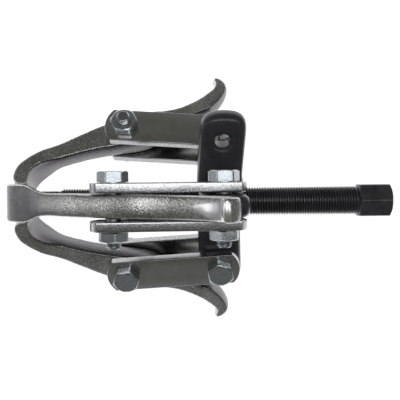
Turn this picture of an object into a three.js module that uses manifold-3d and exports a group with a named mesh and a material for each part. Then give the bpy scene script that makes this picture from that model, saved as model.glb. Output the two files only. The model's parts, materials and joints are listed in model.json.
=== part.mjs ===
// Reversible-jaw gear puller, closed, lying on its two lower jaws.
// Millimetres. The puller is drawn about its own screw axis (x towards the driven hexagon), then tipped on to
// the ground: +Z is up, +X runs from the claws to the hexagon, and the origin is under the middle of its box.
import * as THREE from 'three';
import { mergeVertices } from 'three/addons/utils/BufferGeometryUtils.js';
import Module from 'manifold-3d';

const wasm = await Module();
wasm.setup();

// ---- Driving dimensions -----------------------------------------------------------------------------

// Fits
const touchGap = 0.3;            // room left between pieces that touch
const faceted = 36;              // facets round a full turn of a large cylinder
const facetedSmall = 20;         // facets round a bolt or bolt hole
const curveSteps = 7;            // straight pieces in each curve of a jaw's outline

// Yoke
const pivotRadius = 41;          // screw axis to an arm's bolt hole
const armTipRadius = 56.5;       // screw axis to the end of an arm
const armWidth = 25.4;           // along the screw
const armThickness = 12.2;
const armEdgeRound = 3.6;        // rounding of the forged edges
const armTipCorner = 8;          // rounding of the two corners at an arm's end
const armSweep = 0.05;           // lean of the arms towards the hexagon, as a slope
const hubRadius = 16.5;
const hubLength = 25;
const boltHoleRadius = 4.55;

// Forcing screw: an M16 fine thread with an unthreaded nose
const screwRadius = 8;
const threadStart = -92;
const threadEnd = 78.3;
const hexEnd = 97.2;
const hexFlats = 18;
const threadChamfer = 1.2;
const boreClearance = 0.35;
const tipEnd = -105.1;
const tipRadius = 6.7;
const tipChamfer = 1.4;
const spigotRadius = 3;
const spigotLength = 8;

// Straps
const strapHoles = 56.3;         // hole to hole
const strapHalfWidth = 10.7;
const strapReach = 11.7;         // hole to the end of the strap
const strapEndRadius = 16;
const strapThickness = 5;
const strapInside = 7.1;         // middle of the arm to the strap's inner face
const strapAngle = THREE.MathUtils.degToRad(4.4);   // strap to screw axis when closed

// Hexagon bolts and nuts
const boltRadius = 4;
const hexAcrossFlats = 14.3;
const headHeight = 5.7;
const nutHeight = 5.4;
const boltTail = 3.8;
const endChamfer = 0.8;

// Jaw, measured from its bolt hole
const jawHalfThickness = 5.8;
const clawHalfWidth = 10.35;
const clawFlareStart = -53;
const clawFlareEnd = -36;
const jawReach = 70;             // further than any point of a jaw lies from its hole

// How it lies
const lieAngle = THREE.MathUtils.degToRad(5);       // screw axis to the ground

// Arms round the screw, in degrees from straight up towards +Y
const jawDirections = { top: 0, left: 120, right: -120 };
const spareDirection = 60;

// How far each hexagon happens to be turned, in degrees from one corner pointing away from the screw
const turns = {
  arm_bolt: { top: 32, left: 14, right: -5 },
  arm_nut: { top: 12, left: 0, right: 20 },
  jaw_bolt: { top: 22, left: -8, right: 22 },
  jaw_nut: { top: -9, left: 30, right: 5 },
};

// How each jaw happens to stand in the play between its straps: its lean in degrees, and how far it has slid
// towards the nuts in millimetres
const jawPlay = {
  top: { lean: -0.6, slide: -0.5 },
  left: { lean: 0, slide: 0 },
  right: { lean: 0, slide: 0 },
};

// ---- Finishes ---------------------------------------------------------------------------------------

function finish(color, roughness, metalness) {
  return new THREE.MeshStandardMaterial({ color, roughness, metalness });
}

const blackPaint = () => finish(0x1c1d20, 0.4, 0.2);
const blackOxide = () => finish(0x232427, 0.45, 0.8);
const brightPlate = () => finish(0xc4c6c8, 0.3, 1);
const strapPlate = () => finish(0x8e8f8a, 0.25, 1);
const forgedPlate = () => finish(0x77776f, 0.45, 1);

// ---- Solids -----------------------------------------------------------------------------------------

function toSolid(geometry) {
  const bare = geometry.clone();
  bare.deleteAttribute('normal');
  bare.deleteAttribute('uv');
  const merged = mergeVertices(bare, 1e-4);
  return new wasm.Manifold(new wasm.Mesh({
    numProp: 3,
    vertProperties: new Float32Array(merged.attributes.position.array),
    triVerts: new Uint32Array(merged.index.array),
  }));
}

function toGeometry(solid) {
  const mesh = solid.getMesh();
  const geometry = new THREE.BufferGeometry();
  geometry.setAttribute('position', new THREE.BufferAttribute(mesh.vertProperties, 3));
  geometry.setIndex(new THREE.BufferAttribute(mesh.triVerts, 1));
  geometry.computeVertexNormals();
  return geometry;
}

function named(name, geometry, material) {
  const mesh = new THREE.Mesh(geometry, material);
  mesh.name = name;
  return mesh;
}

// A plate of the given outline, centred on its own middle plane, with optional rounded rims
function plate(shape, thickness, rim = 0, steps = 2, curveSegments = 6) {
  const geometry = new THREE.ExtrudeGeometry(shape, {
    depth: thickness - 2 * rim,
    bevelEnabled: rim > 0,
    bevelThickness: rim,
    bevelSize: rim,
    bevelOffset: -rim,
    bevelSegments: steps,
    curveSegments,
  });
  return geometry.translate(0, 0, rim - thickness / 2);
}

// A round bar along z between two heights
function bar(radius, low, high, facets = facetedSmall) {
  const geometry = new THREE.CylinderGeometry(radius, radius, high - low, facets);
  return geometry.rotateX(Math.PI / 2).translate(0, 0, (low + high) / 2);
}

// A body of revolution about x, from [x, radius] pairs
function turned(profile, facets = faceted) {
  const points = profile.map(([x, radius]) => new THREE.Vector2(radius, x));
  return new THREE.LatheGeometry(points, facets).rotateZ(-Math.PI / 2);
}

// A hexagonal prism along z with its corners turned down at the ends that are said to be chamfered
function hexagon(acrossFlats, low, high, lowChamfered, highChamfered) {
  const corner = acrossFlats / Math.sqrt(3);
  const prism = toSolid(new THREE.CylinderGeometry(corner, corner, high - low, 6)
    .rotateX(Math.PI / 2).translate(0, 0, (low + high) / 2));
  const blankRadius = corner * 1.01;
  const faceRadius = acrossFlats * 0.485;
  const chamferLength = (blankRadius - faceRadius) * 0.6;
  const profile = [[low, 0], [low, lowChamfered ? faceRadius : blankRadius]];
  if (lowChamfered) {
    profile.push([low + chamferLength, blankRadius]);
  }
  if (highChamfered) {
    profile.push([high - chamferLength, blankRadius]);
  }
  profile.push([high, highChamfered ? faceRadius : blankRadius], [high, 0]);
  const blank = turned(profile, 24).rotateY(-Math.PI / 2);
  return prism.intersect(toSolid(blank));
}

// ---- Yoke -------------------------------------------------------------------------------------------

// One arm's outline: x along the screw, y outwards
function armOutline() {
  const half = armWidth / 2;
  const shoulder = armTipRadius - armTipCorner - 1.2;
  const shape = new THREE.Shape();
  shape.moveTo(-half, 0);
  shape.lineTo(half, 0);
  shape.lineTo(half, shoulder);
  shape.bezierCurveTo(half, armTipRadius - 3, half - 3.4, armTipRadius - 0.6, half - 9, armTipRadius - 0.2);
  shape.quadraticCurveTo(0, armTipRadius, -(half - 9), armTipRadius - 0.2);
  shape.bezierCurveTo(-(half - 3.4), armTipRadius - 0.6, -half, armTipRadius - 3, -half, shoulder);
  shape.closePath();
  return shape;
}

function makeYoke() {
  const hubProfile = [
    [-hubLength / 2, 0],
    [-hubLength / 2, hubRadius - 1.5],
    [-hubLength / 2 + 1.5, hubRadius],
    [hubLength / 2 - 1.5, hubRadius],
    [hubLength / 2, hubRadius - 1.5],
    [hubLength / 2, 0],
  ];
  let body = toSolid(turned(hubProfile));
  const directions = [...Object.values(jawDirections), spareDirection];
  for (const direction of directions) {
    const turn = Math.PI / 2 - THREE.MathUtils.degToRad(direction);
    const arm = plate(armOutline(), armThickness, armEdgeRound, 3, 4)
      .applyMatrix4(new THREE.Matrix4().makeShear(0, 0, armSweep, 0, 0, 0))
      .translate(-armSweep * pivotRadius, 0, 0)
      .rotateX(turn);
    const hole = bar(boltHoleRadius, -armThickness, armThickness).translate(0, pivotRadius, 0).rotateX(turn);
    body = body.add(toSolid(arm)).subtract(toSolid(hole));
  }
  const bore = turned([
    [-hubLength, 0],
    [-hubLength, screwRadius + boreClearance],
    [hubLength, screwRadius + boreClearance],
    [hubLength, 0],
  ]);
  return named('yoke', toGeometry(body.subtract(toSolid(bore))), blackPaint());
}

// ---- Forcing screw and its swivel tip ---------------------------------------------------------------

function makeScrew() {
  const shank = toSolid(turned([
    [threadStart, 0],
    [threadStart, screwRadius - threadChamfer],
    [threadStart + threadChamfer, screwRadius],
    [threadEnd + 1, screwRadius],
    [threadEnd + 1, 0],
  ]));
  const head = hexagon(hexFlats, threadEnd, hexEnd, true, true).rotate([0, 0, 30]).rotate([0, 90, 0]);
  const socket = toSolid(turned([
    [threadStart - 1, 0],
    [threadStart - 1, spigotRadius + touchGap],
    [threadStart + spigotLength, spigotRadius + touchGap],
    [threadStart + spigotLength, 0],
  ], facetedSmall));
  return named('forcing_screw', toGeometry(shank.add(head).subtract(socket)), blackOxide());
}

function makeTip() {
  const shoulder = threadStart - touchGap;
  const tip = turned([
    [tipEnd, 0],
    [tipEnd, tipRadius - tipChamfer],
    [tipEnd + tipChamfer, tipRadius],
    [shoulder, tipRadius],
    [shoulder, spigotRadius],
    [shoulder + spigotLength, spigotRadius],
    [shoulder + spigotLength, 0],
  ]);
  return named('swivel_tip', toGeometry(toSolid(tip)), blackOxide());
}

// ---- Straps, bolts and nuts -------------------------------------------------------------------------

// Drawn from the arm's hole at the origin to the jaw's hole at -x
function strapOutline() {
  const inset = strapEndRadius - strapReach;
  const sweep = Math.asin(strapHalfWidth / strapEndRadius);
  const shape = new THREE.Shape();
  shape.absarc(-inset, 0, strapEndRadius, -sweep, sweep, false);
  shape.absarc(inset - strapHoles, 0, strapEndRadius, Math.PI - sweep, Math.PI + sweep, false);
  shape.closePath();
  for (const x of [0, -strapHoles]) {
    const hole = new THREE.Path();
    hole.absarc(x, 0, boltHoleRadius, 0, 2 * Math.PI, true);
    shape.holes.push(hole);
  }
  return shape;
}

function makeStrap(name, side) {
  const middle = side * (strapInside + strapThickness / 2);
  const geometry = plate(strapOutline(), strapThickness, 0, 0, 8).translate(0, 0, middle);
  return named(name, toGeometry(toSolid(geometry)), strapPlate());
}

// The head is on the -z side of the straps and the nut on the +z side
const outside = strapInside + strapThickness + touchGap;

function makeBolt(name) {
  const head = hexagon(hexAcrossFlats, -outside - headHeight, -outside, true, false);
  const end = outside + nutHeight + boltTail;
  const shank = toSolid(turned([
    [-outside - 1, 0],
    [-outside - 1, boltRadius],
    [end - endChamfer, boltRadius],
    [end, boltRadius - endChamfer],
    [end, 0],
  ], facetedSmall).rotateY(-Math.PI / 2));
  return named(name, toGeometry(head.add(shank)), brightPlate());
}

function makeNut(name) {
  const nut = hexagon(hexAcrossFlats, outside, outside + nutHeight, true, true);
  const thread = toSolid(bar(boltRadius + touchGap, outside - 1, outside + nutHeight + 1));
  return named(name, toGeometry(nut.subtract(thread)), brightPlate());
}

// ---- Jaws -------------------------------------------------------------------------------------------

const at = (x, y) => new THREE.Vector2(x, y);

// Side view of a jaw: its bolt hole is at the origin, x runs towards the hexagon and y away from the screw
function jawOutline() {
  const shape = new THREE.Shape();
  shape.moveTo(-55, -38.5);
  shape.lineTo(-59.4, -38.5);
  shape.splineThru([at(-62.1, -36), at(-62.8, -31.5), at(-61, -25.8), at(-57.2, -21.6), at(-51.6, -17.2)]);
  shape.splineThru([at(-39.7, -8.6), at(-21.1, 1.7), at(-8, 8), at(-3, 10.6)]);
  shape.quadraticCurveTo(4.2, 14.4, 14, 14.9);
  shape.splineThru([at(21.3, 15.3), at(32.3, 17.8), at(44.7, 24.7), at(52, 31.2)]);
  shape.quadraticCurveTo(55.6, 35, 52.8, 39.4);
  shape.splineThru([at(55.3, 40.7), at(59.8, 37.8), at(62, 32.6), at(58.3, 24), at(51.4, 16.1)]);
  shape.splineThru([at(42.5, 12.2), at(30.5, 5.4), at(15.5, -6.2), at(-2.7, -10.3)]);
  shape.splineThru([at(-20.7, -13.8), at(-38.1, -19.3), at(-48.6, -24.6), at(-52.8, -29), at(-54, -33)]);
  shape.lineTo(-54, -37.5);
  shape.closePath();
  return shape;
}

// Seen from outside: a claw as wide as it is pulled on, narrowing to the shank
function jawPlan() {
  const shape = new THREE.Shape();
  const swell = (clawFlareEnd - clawFlareStart) * 0.45;
  shape.moveTo(-jawReach, -clawHalfWidth);
  shape.lineTo(clawFlareStart, -clawHalfWidth);
  shape.bezierCurveTo(clawFlareStart + swell, -clawHalfWidth, clawFlareEnd - swell, -jawHalfThickness,
    clawFlareEnd, -jawHalfThickness);
  shape.lineTo(jawReach, -jawHalfThickness);
  shape.lineTo(jawReach, jawHalfThickness);
  shape.lineTo(clawFlareEnd, jawHalfThickness);
  shape.bezierCurveTo(clawFlareEnd - swell, jawHalfThickness, clawFlareStart + swell, clawHalfWidth,
    clawFlareStart, clawHalfWidth);
  shape.lineTo(-jawReach, clawHalfWidth);
  shape.closePath();
  return shape;
}

function makeJaw(name) {
  const side = toSolid(plate(jawOutline(), 2 * clawHalfWidth + 2, 0, 0, curveSteps));
  const plan = toSolid(plate(jawPlan(), 2 * jawReach, 0, 0, curveSteps).rotateX(Math.PI / 2));
  const hole = toSolid(bar(boltHoleRadius, -20, 20));
  return named(name, toGeometry(side.intersect(plan).subtract(hole)), forgedPlate());
}

// ---- Assembly ---------------------------------------------------------------------------------------

// A jaw and the two straps that carry it, standing on its arm of the yoke
function makeJawSide(label, direction) {
  const side = new THREE.Group();
  side.rotation.x = Math.PI / 2 - THREE.MathUtils.degToRad(direction);

  const link = new THREE.Group();
  link.position.set(0, pivotRadius, 0);
  link.rotation.z = -strapAngle;
  link.add(makeStrap(`strap_${label}_head_side`, -1));
  link.add(makeStrap(`strap_${label}_nut_side`, 1));
  for (const [kind, turn] of Object.entries(turns)) {
    const name = `${kind}_${label}`;
    const fastener = kind.endsWith('bolt') ? makeBolt(name) : makeNut(name);
    fastener.position.x = kind.startsWith('jaw') ? -strapHoles : 0;
    fastener.rotation.z = THREE.MathUtils.degToRad(turn[label]);
    link.add(fastener);
  }
  side.add(link);

  const { lean, slide } = jawPlay[label];
  const jaw = makeJaw(`jaw_${label}`);
  jaw.position.set(-strapHoles * Math.cos(strapAngle), pivotRadius + strapHoles * Math.sin(strapAngle), slide);
  jaw.rotation.y = THREE.MathUtils.degToRad(lean);
  side.add(jaw);
  return side;
}

const puller = new THREE.Group();
puller.add(makeYoke(), makeScrew(), makeTip());
for (const [label, direction] of Object.entries(jawDirections)) {
  puller.add(makeJawSide(label, direction));
}
puller.rotation.y = -lieAngle;

const part = new THREE.Group();
part.add(puller);
part.updateMatrixWorld(true);
const extent = new THREE.Box3().setFromObject(part, true);
const middle = extent.getCenter(new THREE.Vector3());
puller.position.set(-middle.x, -middle.y, -extent.min.z);

export default part;
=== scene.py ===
"""Looks of the gear puller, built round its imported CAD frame. Metres, in the row frame: +Z is up."""
import json
import math

import bmesh
import bpy
import numpy as np
from mathutils import Matrix, Vector


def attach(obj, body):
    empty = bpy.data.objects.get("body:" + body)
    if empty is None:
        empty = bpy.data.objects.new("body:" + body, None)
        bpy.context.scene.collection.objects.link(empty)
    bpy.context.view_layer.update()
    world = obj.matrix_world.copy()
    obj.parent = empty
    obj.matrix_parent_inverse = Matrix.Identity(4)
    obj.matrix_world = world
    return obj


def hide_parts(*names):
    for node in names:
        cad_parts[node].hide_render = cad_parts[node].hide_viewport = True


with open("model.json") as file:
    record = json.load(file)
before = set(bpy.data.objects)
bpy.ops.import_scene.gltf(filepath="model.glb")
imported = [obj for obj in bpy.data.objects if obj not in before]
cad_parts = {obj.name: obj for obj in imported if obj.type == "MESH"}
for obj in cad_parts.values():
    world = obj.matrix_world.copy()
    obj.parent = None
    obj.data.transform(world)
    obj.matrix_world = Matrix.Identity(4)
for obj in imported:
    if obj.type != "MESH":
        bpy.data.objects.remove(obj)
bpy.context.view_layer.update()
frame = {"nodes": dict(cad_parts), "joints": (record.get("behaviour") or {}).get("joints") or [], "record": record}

MM = 0.001

# ---- Driving sizes ---------------------------------------------------------------------------

SCREW_RADIUS = 8 * MM
SCREW_PITCH = 1.5 * MM
SCREW_HEAD_OVERLAP = 0.5 * MM
SCREW_HEX_LENGTH = 18.9 * MM
SCREW_FLATS = 18 * MM
TIP_RADIUS = 6.7 * MM
TIP_NOSE = 1.4 * MM
SPIGOT_RADIUS = SCREW_RADIUS * 0.375
SPIGOT_LENGTH = 6 * MM
BOLT_RADIUS = 4 * MM
BOLT_PITCH = 1.25 * MM
BOLT_THREAD_LENGTH = 14 * MM
BOLT_FLATS = 14.3 * MM
BOLT_HEAD = 5.7 * MM
SHANK_MARK = 2                   # twice as dark as the roots of the thread
WASHER_FACE = 0.465 * BOLT_FLATS
NUT_BORE = BOLT_RADIUS * 0.93
NUT_COUNTERSINK = 0.35 * MM
HEAD_RECESS = 0.05 * MM
RIM_SHARE = 0.47                 # a turned-down end's flat face, as a share of the flats
CHAMFER_ANGLE = math.radians(28)
EDGE_SOFTENING = 0.12 * MM
CORNER_ROUNDING = 0.25 * MM
THREAD_DEPTH = 0.7               # of the pitch
THREAD_END_DEPTH = 0.15          # further down, at the chamfered ends
THREAD_FORM = ((0.0, False), (0.1, False), (0.48, True), (0.62, True))  # share of a turn, on the crest
SEAT_GAP = 0.3 * MM              # left in the frame between a head or nut and its strap
STRAP_HALF_WIDTH = 10.7 * MM
STRAP_REACH = 11.7 * MM
STRAP_END_RADIUS = 16 * MM
STRAP_RIM = 0.45 * MM
STRAP_BULGE = 0.06 * MM          # the rolled bar's edges are a little convex
HOLE_RADIUS = 4.55 * MM
HOLE_FLARE = 0.35 * MM
FORGING_VOXEL = 0.5 * MM
EDGE_CURVE = FORGING_VOXEL * 0.12  # how far a vertex stands out where an edge counts as sharp
JAW_HALF_THICKNESS = 5.8 * MM
CLAW_END = -54 * MM              # along the screw, from the jaw's pin
CLAW_BLEND = 16 * MM
# Painted shade on the claws' backs, which also stands for a duller finish there
CLAW_DULL_AND_SHADE_START = -15 * MM
CLAW_DULL_AND_SHADE_BLEND = 2 * CLAW_BLEND
CLAW_DULL_AND_SHADE = 0.62
# Painted shade on forging faces that look along the screw, as a share of that on faces that look in towards it
AXIAL_SHADE = 0.7
# Where each hook is ground smooth and carries a painted highlight: a leaf from LEAF_START to HOOK_VALLEY, then the
# hook's tip to HOOK_END
LEAF_START = 40 * MM
HOOK_VALLEY = 52.4 * MM
HOOK_END = 57.5 * MM
LEAF_MIDDLE = 0.2                # across the jaw, as shares of its half thickness
LEAF_RISE = 0.4
LEAF_FALL = 1.25
LEAF_RIM = 0.12
HOOK_RISE = 0.75
LEAF_ENDS = 0.4 * MM
FACING_START = 0.1               # how far a face has to look outwards to be ground and get the painted highlight
FACING_BLEND = 0.2
JAW_CROWN = 0.8 * MM             # how far a jaw's long faces fall away at their edges
YOKE_PASSES = 90
JAW_PASSES = 24
CROWN_PASSES = 6
EDGE_PASSES = 3

HEXAGON_SEGMENTS = 96
TIP_SEGMENTS = 64
SCREW_SEGMENTS = 48
BOLT_SEGMENTS = 40
STRAP_END_STEPS = 24
STRAP_RIM_STEPS = 5

SIDES = ("top", "left", "right")
RECORD = frame["record"]
JOINTS = {joint["name"]: joint for joint in frame["joints"]}
BODY_OF = {node: body for body, nodes in RECORD["behaviour"]["bodies"].items() for node in nodes}
SLOT_OF = {subpart["node"]: subpart["material_slot"] for subpart in RECORD["subparts"]}

# ---- Places, from the frame ------------------------------------------------------------------


def vertices_of(node):
    mesh = frame["nodes"][node].data
    places = np.zeros(len(mesh.vertices) * 3)
    mesh.vertices.foreach_get("co", places)
    return places.reshape(-1, 3)


def reach(node, origin, direction):
    """How far a CAD node reaches along a direction from an origin: (lowest, highest)."""
    along = (vertices_of(node) - np.array(origin)) @ np.array(direction)
    return float(along.min()), float(along.max())


def placing(origin, z, x):
    """A matrix from a local frame to the row frame: local z along z, local x as near x as it can be."""
    z = z.normalized()
    x = (x - z * x.dot(z)).normalized()
    matrix = Matrix((x, z.cross(x), z)).transposed().to_4x4()
    matrix.translation = origin
    return matrix


def corner_angle(node, matrix):
    """The angle of a hexagon's corner about the local z axis, read from its CAD node."""
    inverse = np.array(matrix.inverted())
    local = vertices_of(node) @ inverse[:3, :3].T + inverse[:3, 3]
    radius = np.hypot(local[:, 0], local[:, 1])
    corners = local[radius > 0.995 * radius.max()]
    return float(np.angle(np.exp(6j * np.arctan2(corners[:, 1], corners[:, 0])).mean()) / 6)


screw_axis = Vector(JOINTS["screw_turn"]["axis"]).normalized()
screw_origin = Vector(JOINTS["screw_turn"]["pos_m"])
arm_pin = {side: Vector(JOINTS[f"link_{side}_swing"]["pos_m"]) for side in SIDES}
jaw_pin = {side: Vector(JOINTS[f"jaw_{side}_tilt"]["pos_m"]) for side in SIDES}
pin_axis = {side: Vector(JOINTS[f"link_{side}_swing"]["axis"]).normalized() for side in SIDES}
front = (arm_pin["top"] - screw_origin).normalized()

# ---- Materials -------------------------------------------------------------------------------


class Shader:
    """A small wrapper that adds and links nodes of one material."""

    def __init__(self, name):
        self.material = bpy.data.materials.new(name)
        self.material.use_nodes = True
        self.tree = self.material.node_tree
        self.surface = self.tree.nodes["Principled BSDF"]
        self.place = self.add("ShaderNodeTexCoord").outputs["Object"]

    def add(self, kind, **settings):
        node = self.tree.nodes.new(kind)
        for key, value in settings.items():
            setattr(node, key, value)
        return node

    def link(self, source, target):
        self.tree.links.new(source, target)

    def noise(self, scale, detail=2, roughness=0.5, stretch=(1, 1, 1)):
        """Noise from 0 to 1; scale is in cells per metre."""
        mapping = self.add("ShaderNodeMapping")
        mapping.inputs["Scale"].default_value = stretch
        self.link(self.place, mapping.inputs["Vector"])
        node = self.add("ShaderNodeTexNoise")
        node.inputs["Scale"].default_value = scale
        node.inputs["Detail"].default_value = detail
        node.inputs["Roughness"].default_value = roughness
        self.link(mapping.outputs["Vector"], node.inputs["Vector"])
        return node.outputs["Fac"]

    def between(self, fac, low, high, low_value, high_value):
        """Maps fac from low..high on to low_value..high_value."""
        node = self.add("ShaderNodeMapRange")
        sockets = ("From Min", "From Max", "To Min", "To Max")
        for socket, value in zip(sockets, (low, high, low_value, high_value)):
            node.inputs[socket].default_value = value
        self.link(fac, node.inputs["Value"])
        return node.outputs["Result"]

    def colours(self, fac, *stops):
        """A ramp from (place, colour) pairs."""
        node = self.add("ShaderNodeValToRGB")
        elements = node.color_ramp.elements
        while len(elements) < len(stops):
            elements.new(0.5)
        for element, (place, colour) in zip(elements, stops):
            element.position = place
            element.color = (*colour, 1)
        self.link(fac, node.inputs["Fac"])
        return node.outputs["Color"]

    def mixed(self, fac, low, high):
        """Mixes two colours, each a socket or a colour."""
        node = self.add("ShaderNodeMix", data_type="RGBA")
        self.link(fac, node.inputs[0])
        for socket, value in ((node.inputs[6], low), (node.inputs[7], high)):
            if isinstance(value, tuple):
                socket.default_value = (*value, 1)
            else:
                self.link(value, socket)
        return node.outputs[2]

    def levelled(self, height, share):
        """A height that is flat, at its middle, where share is 1."""
        node = self.add("ShaderNodeMix", data_type="FLOAT")
        self.link(share, node.inputs[0])
        self.link(height, node.inputs[2])
        node.inputs[3].default_value = 0.5
        return node.outputs[0]

    def attribute(self, name):
        return self.add("ShaderNodeAttribute", attribute_name=name).outputs["Fac"]

    def bump(self, *layers):
        """Stacks bumps; each layer is (height socket, depth in metres)."""
        below = None
        for height, depth in layers:
            node = self.add("ShaderNodeBump")
            node.inputs["Distance"].default_value = depth
            self.link(height, node.inputs["Height"])
            if below is not None:
                self.link(below, node.inputs["Normal"])
            below = node.outputs["Normal"]
        self.link(below, self.surface.inputs["Normal"])

    def finish(self, colour, roughness, metallic):
        self.surface.inputs["Metallic"].default_value = metallic
        self.link(colour, self.surface.inputs["Base Color"])
        self.link(roughness, self.surface.inputs["Roughness"])
        return self.material


def forged_plate():
    """Drop-forged steel under bright plating: speckle, orange peel, brighter edges, a ground hook with a painted
    highlight, and painted shade on faces that look in towards the screw and on claws' backs, where it also stands
    for a duller finish.
    """
    shader = Shader("forged_plate")
    patches = shader.noise(60, 4, 0.6)
    grain = shader.noise(2200, 2, 0.6)
    peel = shader.noise(1200, 2, 0.55)
    speckle = shader.between(shader.noise(1300, 2, 0.6), 0.35, 0.65, 0, 1)
    darker = shader.colours(patches, (0.35, (0.27, 0.27, 0.25)), (0.65, (0.36, 0.36, 0.34)))
    bright = shader.colours(patches, (0.35, (0.66, 0.66, 0.65)), (0.65, (0.80, 0.80, 0.79)))
    body = shader.mixed(speckle, darker, bright)
    worn = shader.between(shader.attribute("edge"), 0.28, 0.7, 0, 0.9)
    # Painted shade: dark grey where the forging faces in towards the screw, and on claws' backs, where it also
    # stands for a duller finish
    shaded = shader.between(shader.attribute("darker"), 0.1, 0.8, 0, 1)
    forged = shader.mixed(worn, shader.mixed(shaded, body, (0.205, 0.20, 0.21)), (0.86, 0.86, 0.88))
    # Painted highlight: near-white on the ground leaf and tip of each hook, where the bumps are also levelled
    ground_and_highlight = shader.attribute("ground_and_highlight")
    colour = shader.mixed(ground_and_highlight, forged, (0.95, 0.95, 0.93))
    peel = shader.levelled(peel, ground_and_highlight)
    grain = shader.levelled(grain, ground_and_highlight)
    shader.bump((peel, 0.16 * MM), (grain, 0.07 * MM))
    return shader.finish(colour, shader.between(patches, 0.3, 0.7, 0.22, 0.31), 1)


def strap_plate():
    """Flat bar, polished before plating, with faint waves and a fine mottle."""
    shader = Shader("strap_plate")
    mottle = shader.noise(1400, 3, 0.65)
    waves = shader.noise(45, 1, 0.4)
    clouds = shader.noise(90, 3, 0.6)
    face = shader.colours(clouds, (0.3, (0.48, 0.48, 0.47)), (0.7, (0.58, 0.58, 0.58)))
    edge = shader.colours(mottle, (0.35, (0.32, 0.32, 0.33)), (0.65, (0.60, 0.60, 0.62)))
    rolled = shader.attribute("rolled")
    smooth = shader.add("ShaderNodeMath", operation="SUBTRACT")
    smooth.inputs[0].default_value = 1
    shader.link(rolled, smooth.inputs[1])
    scale = shader.levelled(mottle, smooth.outputs[0])
    shader.bump((waves, 0.25 * MM), (mottle, 0.004 * MM), (scale, 0.03 * MM))
    colour = shader.mixed(rolled, face, edge)
    return shader.finish(colour, shader.between(mottle, 0.3, 0.7, 0.17, 0.22), 1)


def bright_zinc():
    """Zinc-plated bolts and nuts: blue-white, with a speckle, darker in the roots of the threads and darker still
    on the shank.
    """
    shader = Shader("bright_zinc")
    speckle = shader.noise(1800, 3, 0.7)
    body = shader.colours(speckle, (0.35, (0.42, 0.45, 0.47)), (0.65, (0.62, 0.66, 0.69)))
    roots = shader.between(shader.attribute("root"), 0, 2, 0, 0.9)
    colour = shader.mixed(roots, body, (0.16, 0.16, 0.15))
    shader.bump((shader.noise(350, 2), 0.05 * MM), (speckle, 0.02 * MM))
    return shader.finish(colour, shader.between(speckle, 0.3, 0.7, 0.20, 0.34), 1)


def black_paint():
    """Satin black enamel over a forging."""
    shader = Shader("black_paint")
    peel = shader.noise(260, 2, 0.5)
    dust = shader.noise(70, 5, 0.7)
    body = shader.colours(dust, (0.4, (0.040, 0.040, 0.046)), (0.75, (0.060, 0.060, 0.068)))
    worn = shader.between(shader.attribute("edge"), 0.45, 0.9, 0, 0.25)
    colour = shader.mixed(worn, body, (0.11, 0.11, 0.12))
    shader.bump((peel, 0.10 * MM), (shader.noise(1600, 2), 0.01 * MM))
    shader.surface.inputs["Coat Weight"].default_value = 0.5
    shader.surface.inputs["Specular IOR Level"].default_value = 0.2
    shader.surface.inputs["Coat Roughness"].default_value = 0.14
    return shader.finish(colour, shader.between(dust, 0.3, 0.7, 0.34, 0.46), 0)


def black_oxide():
    """Oiled black oxide, rubbed a little brighter on the crests of the thread."""
    shader = Shader("black_oxide")
    stain = shader.noise(120, 4, 0.6)
    body = shader.colours(stain, (0.35, (0.070, 0.070, 0.078)), (0.7, (0.12, 0.12, 0.13)))
    rubbed = shader.between(shader.attribute("crest"), 0.8, 1.0, 0, 0.35)
    colour = shader.mixed(rubbed, body, (0.22, 0.22, 0.24))
    shader.bump((shader.noise(900, 3), 0.02 * MM), (stain, 0.05 * MM))
    return shader.finish(colour, shader.between(stain, 0.3, 0.7, 0.22, 0.34), 0.6)


MAKERS = (forged_plate, strap_plate, bright_zinc, black_paint, black_oxide)
MATERIALS = {maker.__name__: maker() for maker in MAKERS}

# ---- Mesh helpers ----------------------------------------------------------------------------


def put(name, bm, matrix, node, sharp=25):
    """Turns a bmesh in a local frame into a piece that stands for a CAD node."""
    bmesh.ops.recalc_face_normals(bm, faces=bm.faces)
    mesh = bpy.data.meshes.new(name)
    bm.to_mesh(mesh)
    bm.free()
    mesh.transform(matrix)
    mesh.shade_smooth()
    mesh.set_sharp_from_angle(angle=math.radians(sharp))
    return stand_for(bpy.data.objects.new(name, mesh), node)


def stand_for(piece, node):
    """The piece takes a CAD node's place, body and finish."""
    if piece.name not in bpy.context.scene.collection.objects:
        bpy.context.scene.collection.objects.link(piece)
    piece.data.materials.clear()
    piece.data.materials.append(MATERIALS[SLOT_OF[node]])
    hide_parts(node)
    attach(piece, BODY_OF[node])
    return piece


def float_layer(bm, name):
    return bm.verts.layers.float.get(name) or bm.verts.layers.float.new(name)


def add_rings(bm, rings, segments, wrap=False, mark=None):
    """Adds a closed surface round local z; each ring is (height, radius) or (height, radius, mark's value).

    A height and a radius are each a number, or an array with one value for each segment.
    """
    angle = np.arange(segments) * 2 * math.pi / segments
    layer = float_layer(bm, mark) if mark else None
    loops = []
    for height, radius, *value in rings:
        radius = np.broadcast_to(radius, segments)
        height = np.broadcast_to(height, segments)
        loop = []
        for a, r, z in zip(angle, radius, height):
            loop.append(bm.verts.new((r * math.cos(a), r * math.sin(a), z)))
        if layer and value:
            for vertex in loop:
                vertex[layer] = value[0]
        loops.append(loop)
    pairs = list(zip(loops, loops[1:]))
    if wrap:
        pairs.append((loops[-1], loops[0]))
    for low, high in pairs:
        for i in range(segments):
            j = (i + 1) % segments
            bm.faces.new((low[i], low[j], high[j], high[i]))
    if not wrap:
        bm.faces.new(loops[0][::-1])
        bm.faces.new(loops[-1])


def hexagon_radius(flats, turn):
    """Radius of a hexagon all round, its corners a little rounded, with one corner at the angle turn."""
    angle = np.arange(HEXAGON_SEGMENTS) * 2 * math.pi / HEXAGON_SEGMENTS - turn
    from_flat = np.mod(angle, math.pi / 3) - math.pi / 6
    return np.minimum(flats / 2 / np.cos(from_flat), flats / math.sqrt(3) - CORNER_ROUNDING)


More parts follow.
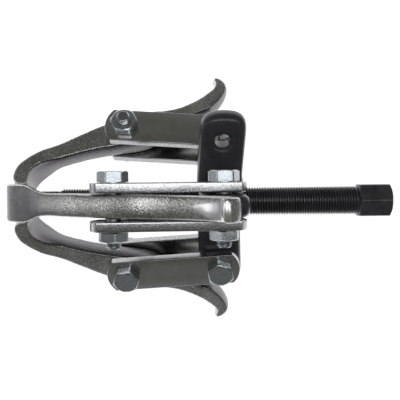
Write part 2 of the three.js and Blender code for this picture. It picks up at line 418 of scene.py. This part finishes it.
def chamfered_end(flats, outline, end, inwards):
    """Rings of a hexagon's turned-down end, from its sides to the rim of its flat face."""
    rim = RIM_SHARE * flats
    soften = EDGE_SOFTENING
    drop = np.maximum(outline - rim, 0) * math.tan(CHAMFER_ANGLE)
    return [
        (end + inwards * (drop + soften), outline),
        (end + inwards * drop, outline - soften),
        (end + inwards * soften * 0.5, rim + soften),
        (end, rim - soften),
    ]


def add_thread(bm, radius, pitch, low, high, segments, mark):
    """A right-hand V thread round local z, closed at both ends and chamfered there."""
    root = radius - THREAD_DEPTH * pitch
    end_radius = root - THREAD_END_DEPTH * pitch
    step = len(THREAD_FORM)
    turns = math.ceil((high - low) / pitch) + 2
    layer = float_layer(bm, mark)
    rows = []
    for i in range(turns * step):
        share, crest = THREAD_FORM[i % step]
        ridge = radius if crest else root
        row = []
        for j in range(segments):
            z = low + pitch * (i // step + share - 1 + j / segments)
            z = min(max(z, low), high)
            r = min(ridge, end_radius + min(z - low, high - z))
            angle = 2 * math.pi * j / segments
            vertex = bm.verts.new((r * math.cos(angle), r * math.sin(angle), z))
            height = max(0.0, (r - root) / (radius - root))
            vertex[layer] = height if mark == "crest" else 1 - height
            row.append(vertex)
        rows.append(row)
    made = [vertex for row in rows for vertex in row]
    for i in range(len(rows) - 1):
        for j in range(segments - 1):
            bm.faces.new((rows[i][j], rows[i][j + 1], rows[i + 1][j + 1], rows[i + 1][j]))
        if i + 1 + step < len(rows):
            last = segments - 1
            bm.faces.new((rows[i][last], rows[i + step][0], rows[i + 1 + step][0], rows[i + 1][last]))
    bmesh.ops.remove_doubles(bm, verts=made, dist=0.002 * MM)
    rims = [edge for edge in bm.edges if edge.is_boundary]
    bmesh.ops.holes_fill(bm, edges=rims, sides=0)


# ---- Forgings --------------------------------------------------------------------------------


def neighbour_mean(places, edges, counts):
    """For each vertex, the mean of the vectors of the vertices that it shares an edge with."""
    total = np.zeros_like(places)
    for axis in range(3):
        total[:, axis] = np.bincount(edges[:, 0], places[edges[:, 1], axis], len(places))
        total[:, axis] += np.bincount(edges[:, 1], places[edges[:, 0], axis], len(places))
    return total / counts[:, None]


def smoothed(mesh, places, edges, counts, passes):
    """Smooths the places, puts them in the mesh and gives its normals."""
    for _ in range(passes):
        places += 0.5 * (neighbour_mean(places, edges, counts) - places)
    mesh.vertices.foreach_set("co", places.ravel())
    mesh.update()
    normals = np.zeros(len(mesh.vertices) * 3)
    mesh.vertices.foreach_get("normal", normals)
    return normals.reshape(-1, 3)


def ground_and_highlight_share(places, normals, crown):
    """1 where a jaw's hook is ground smooth and carries a painted highlight: a leaf that widens towards the hook,
    and the hook's tip, on faces that look outwards.
    """
    if not crown:
        return np.zeros(len(places))
    pin, axis, half, _ = crown
    offset = places - np.array(pin)
    across = offset @ np.array(axis) / half
    along = offset @ np.array(screw_axis)
    width = np.sqrt(np.clip((along - LEAF_START) / (HOOK_VALLEY - LEAF_START), 0, 1))
    upper = np.where(along < HOOK_VALLEY, LEAF_MIDDLE + LEAF_RISE * width, HOOK_RISE)
    lower = LEAF_MIDDLE - LEAF_FALL * width
    outward = np.array((pin - screw_origin) - screw_axis * (pin - screw_origin).dot(screw_axis))
    facing = normals @ (outward / np.linalg.norm(outward))
    share = np.minimum(upper - across, across - lower) / LEAF_RIM
    share = np.minimum(share, np.minimum(along - LEAF_START, HOOK_END - along) / LEAF_ENDS)
    return np.clip(np.minimum(share, (facing - FACING_START) / FACING_BLEND), 0, 1)


def shade_and_dull_share(places, normals, crown):
    """Painted shade: 1 on faces that look towards the screw, and less on those that look along it; on claws' backs
    a darker tone that is partly a duller finish and partly painted shade.
    """
    axis = np.array(screw_axis)
    radial = places - np.array(screw_origin)
    radial -= (radial @ axis)[:, None] * axis
    outward = (radial * normals).sum(1) / np.linalg.norm(radial, axis=1)
    darker = AXIAL_SHADE * normals @ axis - outward
    if crown:
        pin, pin_direction, _, _ = crown
        along = (places - np.array(pin)) @ axis
        claw = np.clip((CLAW_DULL_AND_SHADE_START - along) / CLAW_DULL_AND_SHADE_BLEND, 0, 1)
        claw *= np.clip((0.8 - np.abs(normals @ np.array(pin_direction))) / 0.3, 0, 1)
        darker = np.maximum(darker, CLAW_DULL_AND_SHADE * claw * np.clip(outward / 0.3, 0, 1))
    return darker


def mark_vertices(mesh, name, shares):
    """Writes a share from 0 to 1 at each vertex, for the materials to read."""
    attribute = mesh.attributes.new(name, "FLOAT", "POINT")
    attribute.data.foreach_set("value", np.clip(shares, 0, 1).astype(np.float32))


def forging(name, node, passes, crown=None):
    """A CAD node remeshed fine and smoothed, so that every edge has a forging's round.

    crown is (pin, axis, half thickness, depth): the shank's long faces fall away towards their edges.
    """
    source = bpy.data.objects.new(name, frame["nodes"][node].data.copy())
    bpy.context.scene.collection.objects.link(source)
    remesh = source.modifiers.new("remesh", "REMESH")
    remesh.mode = "VOXEL"
    remesh.voxel_size = FORGING_VOXEL
    evaluated = source.evaluated_get(bpy.context.evaluated_depsgraph_get())
    mesh = bpy.data.meshes.new_from_object(evaluated)
    bpy.data.objects.remove(source)

    places = np.zeros(len(mesh.vertices) * 3)
    mesh.vertices.foreach_get("co", places)
    places = places.reshape(-1, 3)
    edges = np.zeros(len(mesh.edges) * 2, int)
    mesh.edges.foreach_get("vertices", edges)
    edges = edges.reshape(-1, 2)
    counts = np.bincount(edges.ravel(), minlength=len(places)).astype(float)
    normals = smoothed(mesh, places, edges, counts, passes // 2)
    if crown:
        pin, axis, half, depth = crown
        axis = np.array(axis)
        for _ in range(CROWN_PASSES):
            normals = neighbour_mean(normals, edges, counts)
        offset = places - np.array(pin)
        share = np.clip(offset @ axis / half, -1, 1)
        along = offset @ np.array(screw_axis)
        shank = np.clip((along - CLAW_END) / CLAW_BLEND, 0, 1)
        inwards = normals - (normals @ axis)[:, None] * axis
        places -= (depth * shank * share ** 2)[:, None] * inwards
    normals = smoothed(mesh, places, edges, counts, passes // 2)
    curve = ((places - neighbour_mean(places, edges, counts)) * normals).sum(1) / EDGE_CURVE
    for _ in range(EDGE_PASSES):
        curve = neighbour_mean(curve[:, None].repeat(3, 1), edges, counts)[:, 0]
    mark_vertices(mesh, "edge", curve)
    # The ground patch, which also carries a painted highlight
    mark_vertices(mesh, "ground_and_highlight", ground_and_highlight_share(places, normals, crown))
    # Painted shade, with a duller finish on claws' backs, for the material to read
    mark_vertices(mesh, "darker", shade_and_dull_share(places, normals, crown))

    mesh.shade_smooth()
    mesh.materials.clear()
    piece = bpy.data.objects.new(name, mesh)
    return stand_for(piece, node)


forging("yoke_forging", "yoke", YOKE_PASSES)
for side in SIDES:
    jaw_crown = (jaw_pin[side], pin_axis[side], JAW_HALF_THICKNESS, JAW_CROWN)
    forging(f"jaw_forging_{side}", f"jaw_{side}", JAW_PASSES, jaw_crown)

# ---- Forcing screw and its swivel tip --------------------------------------------------------


def make_screw():
    matrix = placing(screw_origin, screw_axis, front)
    low, high = reach("forcing_screw", screw_origin, screw_axis)
    head = high - SCREW_HEX_LENGTH
    bm = bmesh.new()
    thread_end = head + SCREW_HEAD_OVERLAP
    add_thread(bm, SCREW_RADIUS, SCREW_PITCH, low, thread_end, SCREW_SEGMENTS, "crest")
    outline = hexagon_radius(SCREW_FLATS, corner_angle("forcing_screw", matrix))
    near = chamfered_end(SCREW_FLATS, outline, head, 1)
    far = chamfered_end(SCREW_FLATS, outline, high, -1)
    add_rings(bm, near[::-1] + far + [(high, 0.3 * SCREW_FLATS)], HEXAGON_SEGMENTS)
    put("screw", bm, matrix, "forcing_screw")


def make_tip():
    matrix = placing(screw_origin, screw_axis, front)
    low, _ = reach("swivel_tip", screw_origin, screw_axis)
    shoulder, _ = reach("forcing_screw", screw_origin, screw_axis)
    bm = bmesh.new()
    add_rings(bm, [
        (low, TIP_RADIUS - TIP_NOSE - 0.3 * MM),
        (low + 0.1 * MM, TIP_RADIUS - TIP_NOSE),
        (low + TIP_NOSE - 0.1 * MM, TIP_RADIUS - 0.2 * MM),
        (low + TIP_NOSE + 0.3 * MM, TIP_RADIUS),
        (shoulder - 1.0 * MM, TIP_RADIUS),
        (shoulder - 0.5 * MM, TIP_RADIUS - 0.3 * MM),
        (shoulder - SEAT_GAP, TIP_RADIUS - 0.9 * MM),
        (shoulder - SEAT_GAP, SPIGOT_RADIUS),
        (shoulder + SPIGOT_LENGTH, SPIGOT_RADIUS),
    ], TIP_SEGMENTS)
    put("screw_tip", bm, matrix, "swivel_tip")


make_screw()
make_tip()

# ---- Straps ----------------------------------------------------------------------------------


def strap_outline(length):
    """Points and outward normals of a strap seen flat: arm hole at the origin, jaw hole at -x."""
    inset = STRAP_END_RADIUS - STRAP_REACH
    sweep = math.asin(STRAP_HALF_WIDTH / STRAP_END_RADIUS)
    points, normals = [], []
    for centre, middle in ((-inset, 0.0), (inset - length, math.pi)):
        for i in range(STRAP_END_STEPS + 1):
            angle = middle - sweep + 2 * sweep * i / STRAP_END_STEPS
            direction = np.array((math.cos(angle), math.sin(angle)))
            points.append(np.array((centre, 0)) + STRAP_END_RADIUS * direction)
            normals.append(direction)
    for corner in (0, STRAP_END_STEPS, STRAP_END_STEPS + 1, 2 * STRAP_END_STEPS + 1):
        mitre = normals[corner] + np.array((0, np.sign(points[corner][1])))
        normals[corner] = mitre / (0.5 * mitre @ mitre)
    return np.array(points), np.array(normals)


def circle(centre, radius):
    angle = np.arange(BOLT_SEGMENTS) * 2 * math.pi / BOLT_SEGMENTS
    return [(centre + radius * math.cos(a), radius * math.sin(a)) for a in angle]


def make_strap(side, which):
    node = f"strap_{side}_{which}_side"
    along = arm_pin[side] - jaw_pin[side]
    low, high = reach(node, arm_pin[side], -pin_axis[side])
    matrix = placing(arm_pin[side] - pin_axis[side] * (low + high) / 2, -pin_axis[side], along)
    half = (high - low) / 2
    points, normals = strap_outline(along.length)
    profile = []
    for k in range(STRAP_RIM_STEPS + 1):
        angle = math.pi / 2 * (1 - k / STRAP_RIM_STEPS)
        z = half - STRAP_RIM + STRAP_RIM * math.sin(angle)
        profile.append((z, STRAP_RIM - STRAP_RIM * math.cos(angle)))
    profile += [(half * share, 0.0) for share in (0.6, 0.3)]
    profile += [(0.0, 0.0)] + [(-z, inset) for z, inset in reversed(profile)]

    bm = bmesh.new()
    loops = []
    rolled = bm.verts.layers.float.new("rolled")
    for z, inset in profile:
        offset = inset + STRAP_BULGE * (z / half) ** 2
        loops.append([bm.verts.new((*(p - n * offset), z)) for p, n in zip(points, normals)])
        for vertex in loops[-1]:
            vertex[rolled] = 1 if abs(z) < half else 0
    count = len(points)
    for upper, lower in zip(loops, loops[1:]):
        for i in range(count):
            j = (i + 1) % count
            bm.faces.new((upper[i], lower[i], lower[j], upper[j]))
    hole_profile = (
        (half, HOLE_FLARE), (half - HOLE_FLARE, 0.0), (HOLE_FLARE - half, 0.0), (-half, HOLE_FLARE),
    )
    faces = {0: [loops[0]], len(hole_profile) - 1: [loops[-1]]}
    for centre in (0.0, -along.length):
        walls = []
        for z, flare in hole_profile:
            walls.append([bm.verts.new((x, y, z)) for x, y in circle(centre, HOLE_RADIUS + flare)])
        for upper, lower in zip(walls, walls[1:]):
            for i in range(len(upper)):
                j = (i + 1) % len(upper)
                bm.faces.new((upper[i], upper[j], lower[j], lower[i]))
        for level in faces:
            faces[level].append(walls[level])
    bm.edges.ensure_lookup_table()
    for rims in faces.values():
        ring_edges = []
        for loop in rims:
            for i in range(len(loop)):
                ends = (loop[i - 1], loop[i])
                ring_edges.append(bm.edges.get(ends) or bm.edges.new(ends))
        bmesh.ops.triangle_fill(bm, use_beauty=True, use_dissolve=False, edges=ring_edges)
    put(f"strap_{side}_{which}", bm, matrix, node, sharp=30)


# ---- Bolts and nuts --------------------------------------------------------------------------


def make_bolt(side, place, pin):
    """A hexagon-head bolt; its head is at +z of the local frame, which runs along the pin's axis."""
    node = f"{place}_bolt_{side}"
    matrix = placing(pin, pin_axis[side], screw_axis)
    low, high = reach(node, pin, pin_axis[side])
    seat = high - BOLT_HEAD - SEAT_GAP
    outline = hexagon_radius(BOLT_FLATS, corner_angle(node, matrix))
    recess = high - HEAD_RECESS
    bm = bmesh.new()
    rings = [
        (seat, WASHER_FACE),
        (seat + SEAT_GAP, WASHER_FACE),
        (seat + SEAT_GAP, outline - 0.3 * MM),
        (seat + SEAT_GAP + 0.15 * MM, outline),
    ]
    rings += chamfered_end(BOLT_FLATS, outline, high, -1)
    rings += [(recess, RIM_SHARE * BOLT_FLATS - 1.0 * MM), (recess, 0.25 * BOLT_FLATS)]
    add_rings(bm, rings, HEXAGON_SEGMENTS, mark="root")
    thread_end = low + BOLT_THREAD_LENGTH
    shank = [
        (thread_end - 1 * MM, BOLT_RADIUS * 0.86, SHANK_MARK),
        (thread_end, BOLT_RADIUS, SHANK_MARK),
        (seat + 0.1 * MM, BOLT_RADIUS, SHANK_MARK),
    ]
    add_rings(bm, shank, BOLT_SEGMENTS, mark="root")
    add_thread(bm, BOLT_RADIUS, BOLT_PITCH, low, thread_end, BOLT_SEGMENTS, "root")
    put(f"{place}_bolt_piece_{side}", bm, matrix, node)


def make_nut(side, place, pin):
    node = f"{place}_nut_{side}"
    matrix = placing(pin, pin_axis[side], screw_axis)
    low, high = reach(node, pin, pin_axis[side])
    seat = high + SEAT_GAP
    outline = hexagon_radius(BOLT_FLATS, corner_angle(node, matrix))
    mouth = BOLT_RADIUS + NUT_COUNTERSINK
    rings = chamfered_end(BOLT_FLATS, outline, low, 1)[::-1]
    rings += chamfered_end(BOLT_FLATS, outline, high, -1)
    rings += [
        (high, WASHER_FACE),
        (seat, WASHER_FACE - 0.05 * MM),
        (seat, mouth),
        (seat - 0.5 * MM, NUT_BORE),
        (low + 0.5 * MM, NUT_BORE),
        (low, mouth),
    ]
    bm = bmesh.new()
    add_rings(bm, rings, HEXAGON_SEGMENTS, wrap=True, mark="root")
    put(f"{place}_nut_piece_{side}", bm, matrix, node)


for side in SIDES:
    make_strap(side, "head")
    make_strap(side, "nut")
    for place, pin in (("arm", arm_pin[side]), ("jaw", jaw_pin[side])):
        make_bolt(side, place, pin)
        make_nut(side, place, pin)

# ---- Camera, floor and light -----------------------------------------------------------------

CAMERA_DISTANCE = 357.2 * MM     # from the screw axis
CAMERA_ACROSS = Vector((-11.9 * MM, 0.75 * MM, 0))
CAMERA_ROLL = math.radians(0.55)
CAMERA_YAW = math.radians(0.53)
CAMERA_SPIN = math.radians(2.68)
CAMERA_LENS = 55.7
FLOOR_HALF = 6                   # metres
LIGHT_POOL_START = 0.19                # metres from the middle, where the floor's painted pool of light starts to fade
LIGHT_POOL_END = 0.34
LIGHT_UP = Vector((0, 1, 0))


puller = Matrix((screw_axis, front.cross(screw_axis), front)).transposed()
turn = (Matrix.Rotation(CAMERA_ROLL, 3, "Z") @ Matrix.Rotation(CAMERA_YAW, 3, "Y")
        @ Matrix.Rotation(CAMERA_SPIN, 3, "X")).transposed()
view = (puller @ turn).to_4x4()
view.translation = screw_origin + puller @ turn @ (CAMERA_ACROSS + Vector((0, 0, CAMERA_DISTANCE)))
lens = bpy.data.cameras.new("camera")
lens.sensor_width = 36
lens.lens = CAMERA_LENS
lens.clip_start = 0.01
camera = bpy.data.objects.new("camera", lens)
camera.matrix_world = view
bpy.context.scene.collection.objects.link(camera)
bpy.context.scene.camera = camera


def make_floor():
    bm = bmesh.new()
    bmesh.ops.create_grid(bm, x_segments=8, y_segments=8, size=FLOOR_HALF)
    mesh = bpy.data.meshes.new("floor")
    bm.to_mesh(mesh)
    bm.free()
    shader = Shader("floor_paper_and_glow")
    clouds = shader.noise(8, 2)
    paper = shader.colours(clouds, (0.3, (0.90, 0.90, 0.90)), (0.7, (0.93, 0.93, 0.93)))
    # Painted light: the floor glows white in a pool round the object, and fades to a dimmer grey beyond it
    distance = shader.add("ShaderNodeVectorMath", operation="LENGTH")
    shader.link(shader.place, distance.inputs[0])
    beyond = shader.between(distance.outputs["Value"], LIGHT_POOL_START, LIGHT_POOL_END, 0, 1)
    colour = shader.mixed(beyond, paper, (0.40, 0.40, 0.42))
    glow = shader.mixed(beyond, (1.0, 1.0, 1.0), (0.12, 0.12, 0.14))
    shader.link(glow, shader.surface.inputs["Emission Color"])
    shader.surface.inputs["Emission Strength"].default_value = 0.85
    shader.surface.inputs["Specular IOR Level"].default_value = 0.1
    roughness = shader.between(shader.noise(40), 0, 1, 0.7, 0.9)
    mesh.materials.append(shader.finish(colour, roughness, 0))
    floor = bpy.data.objects.new("floor", mesh)
    bpy.context.scene.collection.objects.link(floor)


def area_light(name, place, size, radiance, colour=(1, 1, 1)):
    """A soft box that looks at the object's middle; its power comes from how bright it looks."""
    data = bpy.data.lights.new(name, "AREA")
    data.shape = "RECTANGLE"
    data.size, data.size_y = size
    data.energy = radiance * math.pi * size[0] * size[1]
    data.color = colour
    light = bpy.data.objects.new(name, data)
    bpy.context.scene.collection.objects.link(light)
    backwards = Vector(place)
    light.matrix_world = placing(screw_origin + backwards, backwards, LIGHT_UP.cross(backwards))


def make_world():
    world = bpy.data.worlds.new("studio")
    bpy.context.scene.world = world
    world.use_nodes = True
    tree = world.node_tree
    background = tree.nodes["Background"]
    place = tree.nodes.new("ShaderNodeTexCoord")
    split = tree.nodes.new("ShaderNodeSeparateXYZ")
    ramp = tree.nodes.new("ShaderNodeValToRGB")
    stops = (
        (0.0, (0.30, 0.30, 0.34)),
        (0.25, (0.18, 0.18, 0.18)),
        (0.5, (0.115, 0.115, 0.10)),
        (0.85, (0.10, 0.10, 0.09)),
    )
    while len(ramp.color_ramp.elements) < len(stops):
        ramp.color_ramp.elements.new(0.5)
    for element, (position, colour) in zip(ramp.color_ramp.elements, stops):
        element.position = position
        element.color = (*colour, 1)
    tree.links.new(place.outputs["Generated"], split.inputs[0])
    tree.links.new(split.outputs["Z"], ramp.inputs["Fac"])
    tree.links.new(ramp.outputs["Color"], background.inputs["Color"])


make_floor()
make_world()
area_light("key_strip", (-0.02, 0.034, 0.42), (0.30, 0.05), 3.4, (0.96, 0.98, 1))
area_light("key_wide", (-0.02, 0.115, 0.42), (0.30, 0.11), 2)
area_light("left_box", (-0.32, 0.06, 0.30), (0.42, 0.10), 0.9, (0.97, 0.98, 1))
area_light("left_low", (-0.47, 0.01, 0.13), (0.07, 0.14), 2.0)
area_light("right_box", (0.25, 0.03, 0.40), (0.08, 0.12), 2.5)
bpy.context.scene.view_settings.view_transform = "Standard"
